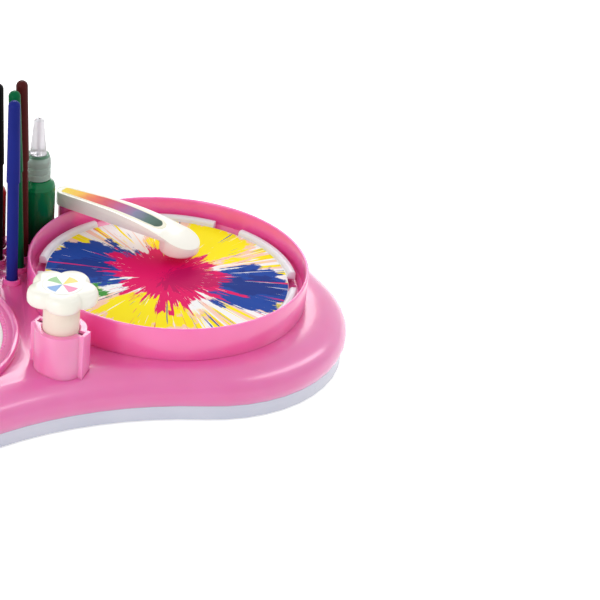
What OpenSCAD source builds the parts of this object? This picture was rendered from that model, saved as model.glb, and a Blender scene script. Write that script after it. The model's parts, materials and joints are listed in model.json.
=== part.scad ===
// Press-to-spin art machine.
// The right station is a splash bowl whose platter is spun by a press button through a rack,
// a crown gear and a spur train.  The left station is a toothed ring for drawing with gear
// wheels, with a storage well under it.  Pens and paint bottles stand in a holder at the back.
// Millimetres, +Z up, origin on the ground under the middle of the body, front towards -Y.

/* [Platter] */
// Radius of the round paper card
card_r = 81.5; // [78:0.5:84]
// Play of the card inside the clip arcs
card_play = 0.8; // [0.5:0.1:1.2]
// Thickness of the paper card
card_t = 0.4; // [0.2:0.1:0.8]
// Thickness of the platter
platter_t = 2; // [1.5:0.5:3]
// Width of the clip arcs
clip_w = 5.3; // [4:0.1:7]
// Height of the raised clip arcs above the flat face
clip_h = 3.4; // [2:0.2:5]
// Number of clip arcs round the platter
clip_count = 6; // [4:1:8]
// Angle of each gap between two clip arcs
clip_gap = 14; // [8:1:20]
// Direction of the first gap
clip_phase = 35; // [20:1:50]

/* [Splash bowl] */
// Running gap between the platter and the bowl wall
bowl_gap = 4.4; // [3.5:0.1:6]
// Thickness of the bowl wall
bowl_wall = 2; // [1.6:0.2:2.4]
// Height of the bowl wall above the deck
bowl_rise = 23; // [20:1:28]
// Width of the ledge of the deck that carries a round wall
ledge_w = 6; // [5:0.5:7]

/* [Drawing ring] */
// Radius of the round drawing paper
drawing_r = 83.2; // [80:0.2:86]
// Play of the drawing paper inside the teeth
drawing_play = 0.4; // [0.3:0.1:0.8]
// Number of fine teeth inside the ring
ring_teeth = 144; // [96:12:156]
// Depth of the fine teeth
ring_tooth_h = 1.8; // [1.4:0.2:2.2]
// Width of the smooth rim outside the teeth
ring_rim_w = 8.6; // [8:0.2:10]
// Height of the ring wall above the deck
ring_rise = 4; // [3:0.5:6]

/* [Body] */
// Space between the two round walls, on the middle line
station_space = 17; // [15:0.5:20]
// How far the body reaches out past a round wall, front and back
deck_rim = 5; // [4:0.5:7]
// How far each corner centre lies beyond its station centre
corner_out = 15; // [13:1:18]
// How far each corner centre lies in front of or behind the middle line
corner_side = 17.7; // [15:0.1:20]
// Distance from the middle line to the narrow waist at the front
waist_front = 95.5; // [93:0.5:98]
// Thickness of the moulded walls
wall = 2.2; // [1.9:0.1:2.5]
// Height of the pale base band
band_z = 11; // [10:0.5:13]
// Thickness of the rubber feet
foot_h = 1.2; // [0.8:0.1:1.6]
// Diameter of the rubber feet
foot_d = 14; // [12:0.5:16]
// How far the side of the deck bulges out past the base band
bulge = 2; // [1:0.5:3]
// Diameter of the screws that hold the casing together
screw_d = 3; // [2.6:0.1:3.4]

/* [Press button] */
// Place of the button tower, left to right
tower_x = -1; // [-3:0.5:1]
// Distance from the front waist back to the tower axis
tower_in = 25.5; // [24:0.5:28]
// Height of the tower above the deck
tower_rise = 27.5; // [24:0.5:30]
// Wall of the round tower
tower_wall = 5; // [4:0.1:6]
// How far the two key wings stand out from the round tower
wing_out = 2.2; // [1.8:0.1:3]
// Width of the key wings
wing_w = 10; // [8:0.5:11]
// Direction of the key wings
wing_angle = -50; // [-60:1:-40]
// Width of the keys that stop the stem from turning
key_w = 3.6; // [3:0.1:4.4]
// Diameter of the button stem
stem_d = 23; // [22:0.5:26]
// How far the button travels
stroke = 12.5; // [10:0.5:13]
// Gap left between the knob and the tower when the button is down
press_gap = 7; // [1:0.5:8]
// Thickness of the knob
knob_h = 10.5; // [9:0.5:13]
// Radius of each knob lobe
lobe_r = 11.1; // [10.6:0.1:12]
// Distance of the lobe centres from the knob axis
lobe_out = 11.5; // [11:0.1:12.4]
// Diameter of the round sticker on the knob
sticker_d = 25; // [20:1:26]

/* [Gear train] */
// Module of the rack and the spur gears
gear_module = 1; // [0.9:0.02:1.1]
// Teeth of the pinion that the rack turns
rack_pinion_teeth = 12; // [11:1:13]
// Module of the crown gear and its pinion
crown_module = 0.8; // [0.7:0.02:0.9]
// Teeth of the crown gear
crown_teeth = 27; // [25:1:29]
// Teeth of the pinion on the crown gear
crown_pinion_teeth = 9; // [9:1:11]
// Teeth of the first large wheel
drive_teeth = 50; // [47:1:52]
// Teeth of the pinion on the platter spindle
spindle_teeth = 20; // [18:1:22]
// Thickness of the large wheels
wheel_t = 2.2; // [1.8:0.1:2.6]
// Diameter of the small axles
axle_d = 3; // [2.6:0.1:3.4]
// Diameter of the platter spindle
spindle_d = 4; // [3.6:0.1:5]
// Radial play of a shaft in its hole
play = 0.06; // [0.04:0.01:0.09]
// Space between the crown gear and the deck above it
deck_gap = 0.8; // [0.6:0.1:1.5]

/* [Holder] */
// Middle of the pen and bottle holder, left to right
holder_x = 5.4; // [4:0.1:7]
// Distance from the back edge of the body to the bottle row
bottle_in = 26.2; // [24:0.1:28]
// Distance from the bottle row to the third pen row
pen_step_3 = 22; // [21.5:0.5:23]
// Distance between the third and the second pen row
pen_step_2 = 15; // [14:0.5:17]
// Distance between the second pen row and the front pen
pen_step_1 = 15.5; // [14:0.5:17]
// Spacing of the two pens in the second row
pen_pair = 21; // [19:0.5:22]
// Spacing of the pens in the third row
pen_pitch = 19; // [18:0.5:20]
// Height of the sockets above the deck
socket_rise = 3.8; // [3:0.2:6]
// Depth of the pen sockets below the deck
pen_sink = 8; // [6:0.5:10]
// Depth of the bottle sockets below the deck
bottle_sink = 2.6; // [2:0.1:3]
// Wall of the sockets
socket_wall = 1.6; // [1.2:0.1:2]
// Clearance of a bottle in its socket
socket_gap = 0.3; // [0.2:0.05:0.4]
// Clearance of a pen in its socket
pen_gap = 0.5; // [0.4:0.05:0.6]

/* [Pens and bottles] */
// Diameter of a pen barrel
pen_d = 7.9; // [7.2:0.1:8.8]
// Length of a pen with its cap on
pen_l = 142.5; // [135:0.5:148]
// How much wider a cap is than its barrel
cap_over = 0.7; // [0.4:0.1:1.2]
// Length of a pen cap
cap_l = 58; // [50:1:62]
// Diameter of a paint bottle
bottle_d = 25.8; // [24:0.2:28]
// Height of the bottle body up to its shoulder
bottle_h = 47; // [44:1:50]
// Height of a whole bottle with its nozzle
bottle_all = 98; // [94:1:102]

/* [Swing arm] */
// Diameter of the arm post
post_d = 11; // [10:0.2:12]
// Gap between the arm post and the bowl wall
post_gap = 0.5; // [0.4:0.1:1.5]
// Diameter of the pin on the post that the arm turns on
pivot_d = 5.2; // [4.4:0.1:6]
// Direction from the bowl centre to the arm post
post_angle = 112; // [110:1:113]
// How far the middle of the arm's head stops short of the bowl centre
arm_short = 8.5; // [6:0.5:12]
// Direction in which the arm points at rest
arm_angle = -52.5; // [-60:0.5:-48]
// Thickness of the arm at its post end
arm_t = 10.5; // [9.5:0.1:12]
// Length of the arm that stays level before its top curves down
arm_flat = 25; // [15:1:35]
// How far the top of the arm falls by the time it reaches the head
arm_fall = 12; // [9:0.5:13]
// Radius of the arm's post end
arm_end_r = 7; // [6.6:0.1:7.4]
// Radius of the arm's head
head_r = 13.8; // [12.6:0.1:14.5]
// Gap between the bowl rim and the arm above it
arm_gap = 2.5; // [1:0.1:3]
// How far the head reaches down below the arm
head_drop = 9.8; // [8:0.2:10.5]

/* [Storage] */
// Width of the ring floor left round the storage well
well_in = 16; // [14:0.5:18]
// Height of the storage well's ceiling above the ground
well_z = 24; // [20:1:27]
// Thickness of the storage lid
lid_t = 2; // [1.6:0.2:2.4]
// Clearance round the storage lid
lid_gap = 0.3; // [0.2:0.05:0.5]
// Number of petal holes in the storage lid
petals = 6; // [5:1:8]

/* [Hidden] */
$fn = 96;
eps = 0.01;

// Each round wall is built out from the paper in its middle
card_seat_r = card_r + card_play;
platter_r = card_seat_r + clip_w;
bowl_r = platter_r + bowl_gap + bowl_wall;
ring_tip_r = drawing_r + drawing_play;
ring_root_r = ring_tip_r + ring_tooth_h;
ring_r = ring_root_r + ring_rim_w;
bowl_hole_r = bowl_r - ledge_w;
ring_hole_r = ring_r - ledge_w;
fit = 0.15;

// The body is drawn round the larger of the two
station_r = max(bowl_r, ring_r);
station_x = station_r + station_space / 2;
bowl_pos = [station_x, 0];
ring_pos = [-station_x, 0];
corner_r = station_r + deck_rim;
corner_x = station_x + corner_out;
back_y = corner_side + corner_r;
// The soft shoulder fills the space between a round wall and the side
shoulder_w = corner_out + deck_rim + bulge;
floor_z = foot_h;
floor_top = floor_z + 2;

// ---- heights: the gears set the height of the deck ----

wheel_z = floor_top + 0.6;
pinion_z = wheel_z + wheel_t;
crown_face = 3;
crown_r = crown_module * crown_teeth / 2;
crown_out = crown_r + crown_face / 2;
rack_drop = 2.5;
// The crown gear clears the wheel below it, and the pressed rack clears the tray
crown_z = max(pinion_z + 0.4 + crown_out, floor_top + stroke + rack_drop + 0.5);
deck_z = crown_z + crown_out + deck_gap + wall;
pinion_tip_r = gear_module * (rack_pinion_teeth / 2 + 0.8);
frame_top = crown_z + 6;

// ---- body outline: two lobes joined by a front waist arc and a straight back ----

// Radius of the waist arc that runs tangent into both front corners
waist_drop = waist_front - corner_side;
waist_r = (corner_x * corner_x + waist_drop * waist_drop - corner_r * corner_r)
    / (2 * (corner_r - waist_drop));
waist_y = waist_front + waist_r;
// Direction from a front corner centre to the waist centre
waist_dir = atan2(waist_y - corner_side, corner_x);
corner_steps = 14;
waist_steps = 10;

function arc(c, r, a0, a1, n, from = 0) =
    [for (i = [from:n]) let (a = a0 + (a1 - a0) * i / n) c + r * [cos(a), sin(a)]];

// Front edge from the left end to the right end, moved outwards by off
function front_edge(off) = concat(
    arc([-corner_x, -corner_side], corner_r + off, 180, 360 - waist_dir, corner_steps),
    arc([0, -waist_y], waist_r - off, 180 - waist_dir, waist_dir, waist_steps, 1),
    arc([corner_x, -corner_side], corner_r + off, 180 + waist_dir, 360, corner_steps, 1));

// Back edge with the same number of points, also from left to right
function back_edge(off) = concat(
    arc([-corner_x, corner_side], corner_r + off, 180, 90, corner_steps),
    [for (i = [1:waist_steps]) [-corner_x + 2 * corner_x * i / waist_steps,
        corner_side + corner_r + off]],
    arc([corner_x, corner_side], corner_r + off, 90, 0, corner_steps, 1));

function reversed(v) = [for (i = [len(v) - 1:-1:0]) v[i]];
function outline(off) = concat(front_edge(off), reversed(back_edge(off)));
side_points = 2 * corner_steps + waist_steps + 1;

// ---- deck shell: rings of the outline, each at its own offset and height ----

bulge_z = band_z + 7;
dome_h = deck_z - bulge_z;
side_steps = 4;
dome_steps = 9;
// Offset and height of each ring on the outer skin, from the parting line to the flat top
skin = concat(
    [for (i = [0:side_steps - 1]) let (a = 90 * i / side_steps)
        [bulge * sin(a), band_z + (bulge_z - band_z) * i / side_steps]],
    [for (i = [0:dome_steps]) let (a = 90 * i / dome_steps)
        [bulge - shoulder_w * (1 - cos(a)), bulge_z + dome_h * sin(a)]]);
// The inner skin follows the same curve one wall further in
inner_skin = concat(
    [for (i = [0:1]) [bulge * i - wall, band_z + (bulge_z - band_z) * i]],
    [for (i = [1:5]) let (a = 90 * i / 5)
        [bulge - wall - (shoulder_w - wall) * (1 - cos(a)), bulge_z + (dome_h - wall) * sin(a)]]);

function ring_at(p) = [for (q = outline(p[0])) [q[0], q[1], p[1]]];
function flat_list(v) = [for (a = v) for (b = a) b];

// Closed skin through rings that go up the outside and down the inside
module shell_skin(outer, inner) {
    n = 2 * side_points;
    rings = concat(outer, reversed(inner));
    m = len(rings);
    top = len(outer) - 1;
    walls = [for (k = [0:m - 2]) if (k != top) for (i = [0:n - 1]) let (j = (i + 1) % n)
        [k * n + i, (k + 1) * n + i, (k + 1) * n + j, k * n + j]];
    foot = [for (i = [0:n - 1]) let (j = (i + 1) % n) [(m - 1) * n + i, i, j, (m - 1) * n + j]];
    cap = [for (i = [0:side_points - 2])
        [top * n + i, top * n + n - 1 - i, top * n + n - 2 - i, top * n + i + 1]];
    ceiling = [for (i = [0:side_points - 2]) let (b = (top + 1) * n)
        [b + i, b + i + 1, b + n - 2 - i, b + n - 1 - i]];
    polyhedron(flat_list([for (p = rings) ring_at(p)]), concat(walls, foot, cap, ceiling));
}

// ---- shared places ----

bowl_floor = deck_z + 2;
bowl_floor_t = 2;
rim_z = deck_z + bowl_rise;
spindle_pos = bowl_pos;
tower_y = tower_in - waist_front;
tower_top = deck_z + tower_rise;
stem_r = stem_d / 2;
tower_r = stem_r + tower_wall;
wing_reach = tower_r + wing_out;
knob_z = tower_top + press_gap + stroke;
knob_top = knob_z + knob_h;
// The stem's lower end stays clear of the gears when the button is down
stem_foot = crown_z + pinion_tip_r + 2 + stroke;
tower_foot = frame_top + 1.3;
key_reach = wing_reach - 3.2;
post_r = post_d / 2;
pivot_r = pivot_d / 2;
post_out = bowl_r + post_gap + post_r;
post_pos = bowl_pos + [post_out * cos(post_angle), post_out * sin(post_angle)];
arm_l = post_out - arm_short;
arm_z = rim_z + arm_gap;

spring_d = 8.4;
spring_wire = 1;
spring_turns = 9;
spring_pos = [tower_x, tower_y - 7.2];

// Names, places and leans of the pens and bottles
pen_r = pen_d / 2;
bottle_r = bottle_d / 2;
pen_z = deck_z - pen_sink;
bottle_z = deck_z - bottle_sink;
socket_top = deck_z + socket_rise;
pen_socket_r = pen_r + pen_gap + socket_wall;
bottle_socket_r = bottle_r + socket_gap + socket_wall;
plate_t = 2;
bottle_row = back_y - bottle_in;
pen_row_3 = bottle_row - pen_step_3;
pen_row_2 = pen_row_3 - pen_step_2;
pen_row_1 = pen_row_2 - pen_step_1;
// The right-hand bottle socket touches the bowl wall, and the others keep the same pitch
socket_reach = bowl_r + bottle_socket_r + 0.115;
bottle_pitch = station_x - sqrt(socket_reach * socket_reach - bottle_row * bottle_row) - holder_x;
pen_tilt = [1.7, 2.6, 0.5, 0.9, 1.2, 1.8];
pens = [[holder_x + pen_pitch, pen_row_3], [holder_x + pen_pair / 2, pen_row_2],
    [holder_x, pen_row_1], [holder_x, pen_row_3],
    [holder_x - pen_pair / 2, pen_row_2], [holder_x - pen_pitch, pen_row_3]];
bottles = [for (k = [1:-1:-1]) [holder_x + k * bottle_pitch, bottle_row]];

// ---- gear arithmetic ----

pressure = 25;
addendum = 0.8;
dedendum = 1.05;
backlash = 0.16;
function pitch_r(m, z) = m * z / 2;
function tip_r(m, z) = pitch_r(m, z) + addendum * m;
function root_r(m, z) = pitch_r(m, z) - dedendum * m;
// Involute angle in degrees at radius r of a gear with base radius b
function inv_deg(b, r) = r <= b ? 0 : let (a = acos(b / r)) tan(a) * 180 / PI - a;
// Half the angle that a tooth takes up at radius r
function half_tooth(m, z, r) =
    let (p = pitch_r(m, z), b = p * cos(pressure))
    (PI * m / 2 - backlash * m) / (2 * p) * 180 / PI + inv_deg(b, p) - inv_deg(b, r);
flank_steps = 3;
function flank(m, z) =
    let (b = pitch_r(m, z) * cos(pressure), r0 = max(b, root_r(m, z)), r1 = tip_r(m, z))
    [for (i = [0:flank_steps]) let (r = r0 + (r1 - r0) * i / flank_steps) [r, half_tooth(m, z, r)]];
function polar(r, a) = r * [cos(a), sin(a)];
// Outline of a spur gear with the middle of one tooth in direction a0
function gear_points(m, z, a0) = flat_list([for (k = [0:z - 1])
    let (a = a0 + 360 * k / z, f = flank(m, z), r = root_r(m, z), w = f[0][1])
    concat([polar(r, a - w)], [for (p = f) polar(p[0], a - p[1])],
        [for (p = reversed(f)) polar(p[0], a + p[1])], [polar(r, a + w)])]);

module spur(m, z, h, a0) {
    linear_extrude(h) polygon(gear_points(m, z, a0));
}

// Direction of a tooth on gear 2 so that it meshes with gear 1 in direction dir
function mesh_angle(dir, a1, z1, z2) = dir + 180 - 180 / z2 + (dir - a1) * z1 / z2;

// ---- places of the gear train ----

rack_r = pitch_r(gear_module, rack_pinion_teeth);
rack_w = 7;
rack_face = 3;
// The rack's pitch line lies in front of the horizontal axle
crown_y = tower_y + rack_face + rack_r;
crown_pinion_r = pitch_r(crown_module, crown_pinion_teeth);
drive_r = pitch_r(gear_module, drive_teeth);
spindle_gear_r = pitch_r(gear_module, spindle_teeth);
// The large wheel passes beside the rack
drive_pos = [tower_x + rack_w / 2 + drive_r + 4.5, crown_y];
// The idler has as many teeth as it needs to reach both of its neighbours, a little off their line
span = norm(spindle_pos - drive_pos);
idler_teeth = round((1.0623 * span - drive_r - spindle_gear_r) / gear_module);
idler_r = pitch_r(gear_module, idler_teeth);
reach_1 = drive_r + idler_r;
reach_2 = idler_r + spindle_gear_r;
span_dir = atan2(spindle_pos[1] - drive_pos[1], spindle_pos[0] - drive_pos[0]);
idler_swing = acos((reach_1 * reach_1 + span * span - reach_2 * reach_2) / (2 * reach_1 * span));
idler_dir = span_dir - idler_swing;
idler_pos = drive_pos + polar(reach_1, idler_dir);
spindle_dir = atan2(spindle_pos[1] - idler_pos[1], spindle_pos[0] - idler_pos[0]);

crown_pinion_a = 180 - 180 / crown_pinion_teeth;
drive_a = 0;
idler_a = mesh_angle(idler_dir, drive_a, drive_teeth, idler_teeth);
spindle_a = mesh_angle(spindle_dir, idler_a, idler_teeth, spindle_teeth);

// ---- body ----

module petal_holes() {
    for (i = [0:petals - 1]) rotate(360 * i / petals)
        hull() {
            translate([16, 0]) circle(r = 2.5, $fn = 32);
            translate([34, 0]) circle(r = 7.5, $fn = 32);
        }
}

// Places of the screws that hold the deck on the base tray
screw_in = corner_r - 13;
screw_spots = [[-corner_x - screw_in, 0], [corner_x + screw_in, 0],
    [-corner_x + 12, corner_side + screw_in - 1], [corner_x - 12, corner_side + screw_in - 1],
    [-corner_x - 2, -corner_side - screw_in + 1.5], [corner_x + 2, -corner_side - screw_in + 1.5],
    [holder_x - bottle_pitch - bottle_socket_r - 10.1, back_y - 16],
    [tower_x - wing_reach - 12.3, 15 - waist_front]];
boss_d = screw_d + 4;
boss_h = wheel_z - floor_z - 0.3;
well_r = ring_r - well_in;

module base_tray() {
    color("#d4d8e4")
    difference() {
        union() {
            difference() {
                translate([0, 0, floor_z]) linear_extrude(band_z - floor_z) polygon(outline(0));
                translate([0, 0, floor_top]) linear_extrude(band_z) polygon(outline(-wall));
                translate([ring_pos[0], 0, 0]) cylinder(r = well_r + wall - eps, h = band_z);
            }
            // Storage well, open at the bottom, with a step that stops the lid
            translate([ring_pos[0], 0, floor_z]) difference() {
                cylinder(r = well_r + wall, h = well_z - floor_z);
                translate([0, 0, -eps]) cylinder(r = well_r, h = lid_t + eps);
                translate([0, 0, lid_t - eps])
                    cylinder(r = well_r - 1.5, h = well_z - floor_z - lid_t - wall);
            }
            for (p = screw_spots) translate([p[0], p[1], floor_z])
                cylinder(d = boss_d, h = band_z - floor_z - 1, $fn = 32);
            // Raised bosses that carry the axles and the spring
            for (p = [drive_pos, idler_pos]) translate([p[0], p[1], floor_z])
                cylinder(d = 7, h = boss_h, $fn = 48);
            translate([spindle_pos[0], spindle_pos[1], floor_z]) cylinder(d = 9, h = boss_h, $fn = 48);
            translate([spring_pos[0], spring_pos[1], floor_z])
                cylinder(d = spring_d - 2 * spring_wire - 1, h = 8, $fn = 48);
            for (p = frame_spots) translate([p[0], p[1], floor_z]) cylinder(d = 5, h = 2, $fn = 32);
        }
        for (p = screw_spots) translate([p[0], p[1], 0]) {
            cylinder(d = screw_d + 0.4, h = band_z + 1, $fn = 32);
            cylinder(d = 6.4, h = floor_z + 3, $fn = 32);
        }
        for (p = [drive_pos, idler_pos]) translate([p[0], p[1], floor_z + 0.6])
            cylinder(d = axle_d, h = band_z, $fn = 48);
        translate([spindle_pos[0], spindle_pos[1], floor_z + 0.6])
            cylinder(r = spindle_d / 2 + play, h = band_z, $fn = 48);
        for (p = frame_spots) translate([p[0], p[1], floor_z + 0.6]) cylinder(d = 2, h = band_z, $fn = 32);
    }
}

foot_r = foot_d / 2;
// Four feet under the corners, one at the back and one at the waist
foot_side = corner_r - foot_r - 4.8;
foot_dir = 36.61;
foot_spots = [for (x = [-1, 1]) for (y = [-1, 1])
        [x * (corner_x + foot_side * cos(foot_dir)), y * foot_side * sin(foot_dir)],
    [0, back_y - foot_r - 7], [0, foot_r + 5 - waist_front]];

module feet() {
    color("#9aa0a8")
    for (p = foot_spots) translate([p[0], p[1], 0]) cylinder(r = foot_r, h = foot_h, $fn = 48);
}

module storage_lid() {
    color("white")
    translate([ring_pos[0], 0, floor_z]) difference() {
        union() {
            cylinder(r = well_r - lid_gap, h = lid_t);
            rotate_extrude() translate([well_r - 8, lid_t]) square([1.5, 2]);
        }
        translate([0, 0, -eps]) linear_extrude(lid_t + 2 * eps) petal_holes();
    }
}

// Plan of the button tower, grown by g
module tower_plan(g) {
    circle(r = tower_r + g);
    rotate(wing_angle) square([2 * (wing_reach + g), wing_w + 2 * g], center = true);
}

module deck() {
    color("#f082ae")
    difference() {
        union() {
            shell_skin(skin, inner_skin);
            for (p = screw_spots) translate([p[0], p[1], band_z - 0.8])
                cylinder(d = boss_d, h = deck_z - wall - band_z + 1, $fn = 32);
        }
        translate([bowl_pos[0], bowl_pos[1], band_z]) cylinder(r = bowl_hole_r, h = deck_z);
        translate([ring_pos[0], ring_pos[1], band_z]) cylinder(r = ring_hole_r, h = deck_z);
        translate([tower_x, tower_y, band_z]) linear_extrude(deck_z) tower_plan(fit);
        for (p = screw_spots) translate([p[0], p[1], 0])
            cylinder(d = screw_d - 0.4, h = band_z + 8, $fn = 32);
        for (p = pens) translate([p[0], p[1], band_z]) cylinder(r = pen_socket_r + fit, h = deck_z);
        for (p = bottles) translate([p[0], p[1], band_z]) cylinder(r = bottle_socket_r + fit, h = deck_z);
        translate([post_pos[0], post_pos[1], band_z]) cylinder(r = post_r - 1.5 + fit, h = deck_z);
    }
}

module casing_screws() {
    color("#8a8f96")
    for (p = screw_spots) translate([p[0], p[1], floor_z + 1]) {
        cylinder(d = 5.6, h = 2, $fn = 32);
        cylinder(d = screw_d - 0.4, h = band_z + 5 - floor_z, $fn = 32);
    }
}

module splash_bowl() {
    color("#ee7fae")
    translate([bowl_pos[0], bowl_pos[1], 0]) difference() {
        union() {
            rotate_extrude() polygon([
                [spindle_boss_r, bowl_floor], [bowl_hole_r - 3, bowl_floor],
                [bowl_hole_r - 2.2, bowl_floor - 2], [bowl_hole_r - 2.2, deck_z - wall],
                [bowl_hole_r - fit, deck_z - wall], [bowl_hole_r - fit, deck_z],
                [bowl_r, deck_z], [bowl_r, rim_z - 1], [bowl_r - 0.3, rim_z - 0.3], [bowl_r - 1, rim_z],
                [bowl_in_r + 0.3, rim_z - 0.3], [bowl_in_r, rim_z - 1],
                [bowl_in_r - 0.6, bowl_floor + 6], [bowl_in_r - 3, bowl_floor + 2.6],
                [bowl_in_r - 6, bowl_floor + bowl_floor_t], [spindle_boss_r, bowl_floor + bowl_floor_t]]);
            translate([0, 0, bowl_floor - 6]) cylinder(r = spindle_boss_r + eps, h = 6 + bowl_floor_t);
        }
        translate([0, 0, bowl_floor - 7]) cylinder(d = bush_d, h = 12);
    }
}
bush_d = spindle_d + 3;
spindle_boss_r = bush_d / 2 + 3.5;
bowl_in_r = bowl_r - bowl_wall;

module drawing_ring() {
    color("#f48cb8")
    translate([ring_pos[0], ring_pos[1], 0]) {
        difference() {
            rotate_extrude() polygon([
                [0, ring_floor - 1.6], [ring_hole_r - fit, ring_floor - 1.6], [ring_hole_r - fit, deck_z],
                [ring_r, deck_z], [ring_r, deck_z + ring_rise - 1], [ring_r - 1, deck_z + ring_rise],
                [ring_r - 3.4, deck_z + ring_rise], [ring_r - 4.4, deck_z + ring_rise - 1.4],
                [ring_root_r + 0.8, deck_z + ring_rise - 1.4], [ring_root_r + 0.8, deck_z + ring_rise - 2.2],
                [ring_tip_r - 2, deck_z + ring_rise - 2.2], [ring_tip_r - 2, ring_floor], [0, ring_floor]]);
            translate([0, 0, ring_floor]) linear_extrude(ring_rise + deck_z) polygon(ring_gear_points);
        }
    }
}
ring_floor = deck_z;
// Zigzag of the fine teeth, pointed as on a drawing ring
ring_gear_points = flat_list([for (k = [0:ring_teeth - 1]) let (a = 360 / ring_teeth)
    [polar(ring_tip_r, a * k), polar(ring_tip_r, a * (k + 0.25)), polar(ring_root_r, a * (k + 0.5)),
        polar(ring_root_r, a * (k + 0.75))]]);

module drawing_paper() {
    color("white")
    translate([ring_pos[0], ring_pos[1], ring_floor]) cylinder(r = drawing_r, h = card_t);
}

// ---- holder ----

// Plate under the deck that ties the sockets together
plate_half = [[0, pen_row_1 - 9], [9, pen_row_1 - 7], [pen_pair / 2 + 8.5, pen_row_2 - 6],
    [pen_pitch + 10, pen_row_3 - 6], [bottle_pitch + 5, pen_row_3 + 2],
    [bottle_pitch + 12, bottle_row - 8], [bottle_pitch + 12, bottle_row + 4.5]];
plate_points = concat([for (p = plate_half) [holder_x + p[0], p[1]]],
    [for (p = reversed(plate_half)) if (p[0] > 0) [holder_x - p[0], p[1]]]);

module socket(r, z, wall_r) {
    difference() {
        translate([0, 0, z - plate_t]) cylinder(r = wall_r, h = socket_top - z + plate_t);
        translate([0, 0, z]) cylinder(r = r, h = 40);
        translate([0, 0, socket_top - 0.6]) cylinder(r1 = r, r2 = r + 0.7, h = 0.7);
    }
}

module holder() {
    color("#f082ae")
    difference() {
        union() {
            difference() {
                translate([0, 0, deck_z - wall - 2.4]) linear_extrude(2.4) polygon(plate_points);
                for (p = pens) translate([p[0], p[1], 0]) cylinder(r = pen_socket_r - eps, h = deck_z);
                for (p = bottles) translate([p[0], p[1], 0]) cylinder(r = bottle_socket_r - eps, h = deck_z);
            }
            for (p = pens) translate([p[0], p[1], 0]) socket(pen_r + pen_gap, pen_z, pen_socket_r);
            for (p = bottles) translate([p[0], p[1], 0])
                socket(bottle_r + socket_gap, bottle_z, bottle_socket_r);
        }
        // Room for the bowl wall beside the right-hand bottle
        translate([bowl_pos[0], bowl_pos[1], deck_z]) cylinder(r = bowl_r + 0.25, h = 40);
    }
}

// ---- press button ----

module button_tower() {
    color("#f082ae")
    translate([tower_x, tower_y, 0]) difference() {
        union() {
            translate([0, 0, tower_foot]) linear_extrude(tower_top - tower_foot) tower_plan(0);
            // Flange that bears against the underside of the deck
            translate([-wing_reach - 1.8, -5, deck_z - wall - 2.8])
                cube([2 * wing_reach + 3.6, tower_r + 8, 2.8]);
        }
        cylinder(r = stem_r + play, h = tower_top + 1);
        // Lead-in round the top of the bore
        translate([0, 0, tower_top - lead_in])
            cylinder(r1 = stem_r + play - 0.1, r2 = stem_r + play - 0.1 + 2 * lead_in, h = 2 * lead_in);
        rotate(wing_angle) translate([-key_reach - 0.5, -key_w / 2 - 0.2, 0])
            cube([2 * key_reach + 1, key_w + 0.4, tower_top + 1]);
    }
}

lead_in = 0.9;
rack_foot = crown_z - rack_drop;
rack_tooth_count = floor((stem_foot - crown_z - 2) / (PI * gear_module) - 0.5);
rack_root = -dedendum * gear_module;
rack_tip = addendum * gear_module;
// Half the thickness of a rack tooth at distance y from the pitch line
function rack_half(y) = (PI * gear_module / 2 - backlash * gear_module) / 2 - y * tan(pressure);

module rack() {
    // Pitch line at y = rack_face, gap centred at the height of the pinion axle
    step = PI * gear_module;
    difference() {
        translate([-rack_w / 2, -2.5, rack_foot])
            cube([rack_w, rack_face + 2.5 + rack_tip, stem_foot - rack_foot + 1]);
        for (i = [-1:rack_tooth_count]) translate([0, rack_face, crown_z + i * step]) rotate([90, 0, 90])
            linear_extrude(rack_w + 1, center = true)
                polygon([[rack_root, -step / 2 + rack_half(rack_root)],
                    [rack_tip + 0.1, -step / 2 + rack_half(rack_tip + 0.1)],
                    [rack_tip + 0.1, step / 2 - rack_half(rack_tip + 0.1)],
                    [rack_root, step / 2 - rack_half(rack_root)]]);
    }
}

module button_stem() {
    color("#fafaf0")
    translate([tower_x, tower_y, 0]) {
        difference() {
            union() {
                translate([0, 0, stem_foot]) cylinder(r = stem_r, h = knob_z - stem_foot);
                rotate(wing_angle) translate([-key_reach, -key_w / 2, stem_foot + 3])
                    cube([2 * key_reach, key_w, tower_top - stem_foot - 4.5]);
            }
            translate([0, 0, stem_foot + 2]) cylinder(r = stem_r - 2, h = 100);
        }
        rack();
    }
}

// Five-lobed outline of the knob, moved inwards by g
lobe_steps = 14;
function lobe_reach(d, g) = lobe_out * cos(d) + sqrt(pow(lobe_r - g, 2) - pow(lobe_out * sin(d), 2));
function knob_outline(g) = [for (k = [0:4]) for (i = [0:lobe_steps - 1]) let (d = -36 + 72 * i / lobe_steps)
    polar(lobe_reach(d, g), 36 + 72 * k + d)];
// Inset and height of each ring of the knob
knob_rings = [[2.2, 0], [0.9, 0.6], [0.2, 1.6], [0, 3], [0, knob_h - 4.6], [0.3, knob_h - 3],
    [0.9, knob_h - 1.6], [1.8, knob_h - 0.6], [3, knob_h]];
knob_middle = 6;

module knob_body() {
    n = 5 * lobe_steps;
    disc = [for (i = [0:n - 1]) polar(knob_middle, 360 * i / n)];
    loft(concat([[for (q = disc) [q[0], q[1], 0]]],
        [for (r = knob_rings) [for (q = knob_outline(r[0])) [q[0], q[1], r[1]]]],
        [[for (q = disc) [q[0], q[1], knob_h]]]));
}

module knob() {
    color("#fafaf0")
    translate([tower_x, tower_y, knob_z]) difference() {
        knob_body();
        translate([0, 0, knob_h - 0.2]) cylinder(d = sticker_d + 0.3, h = 1);
        translate([0, 0, -eps]) cylinder(r = stem_r - 2, h = 4);
    }
}

module knob_sticker() {
    color("#5a6070")
    translate([tower_x, tower_y, knob_top - 0.2]) cylinder(d = sticker_d, h = 0.3);
}

spring_h = stem_foot - floor_top;
coil_steps = 16;
coil_sides = 8;

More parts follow.
